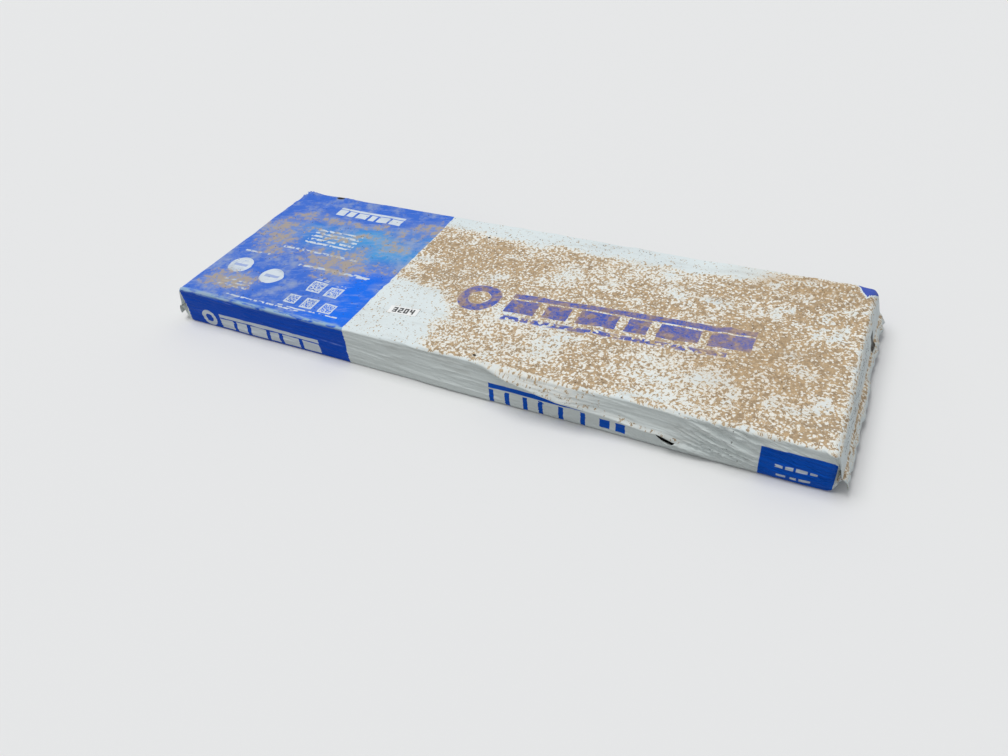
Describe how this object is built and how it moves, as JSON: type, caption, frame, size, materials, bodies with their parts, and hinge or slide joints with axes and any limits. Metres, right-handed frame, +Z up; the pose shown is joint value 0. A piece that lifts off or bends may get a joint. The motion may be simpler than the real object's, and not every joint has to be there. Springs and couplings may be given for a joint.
{
  "type": "wrapped asphalt shingle bundle",
  "caption": "Flat rectangular bundle of laminated, slotted roofing shingles stacked in turned-over pairs and sealed in printed plastic film, with a crumpled fin seal at each end.",
  "frame": {"origin": "middle of the underside, where the bundle rests on the floor", "axes": "+X along the bundle, from the printed panel's end to the plain end, +Y across it to the back, +Z up"},
  "size_m": [1.0438, 0.3432, 0.0645],
  "materials": {
    "film": "printed polyethylene film, dusty",
    "shingle": "asphalt with mineral granules",
    "sticker_paper": "uncoated label paper"
  },
  "bodies": {
    "root": {"film_wrap": "film", "number_sticker": "sticker_paper", "shingle_01": "shingle", "shingle_02": "shingle", "shingle_03": "shingle", "shingle_04": "shingle", "shingle_05": "shingle", "shingle_06": "shingle", "shingle_07": "shingle", "shingle_08": "shingle", "shingle_09": "shingle", "shingle_10": "shingle", "shingle_11": "shingle", "shingle_12": "shingle", "shingle_13": "shingle", "shingle_14": "shingle", "shingle_15": "shingle", "shingle_16": "shingle", "shingle_17": "shingle", "shingle_18": "shingle", "shingle_19": "shingle", "shingle_20": "shingle"}
  },
  "joints": []
}
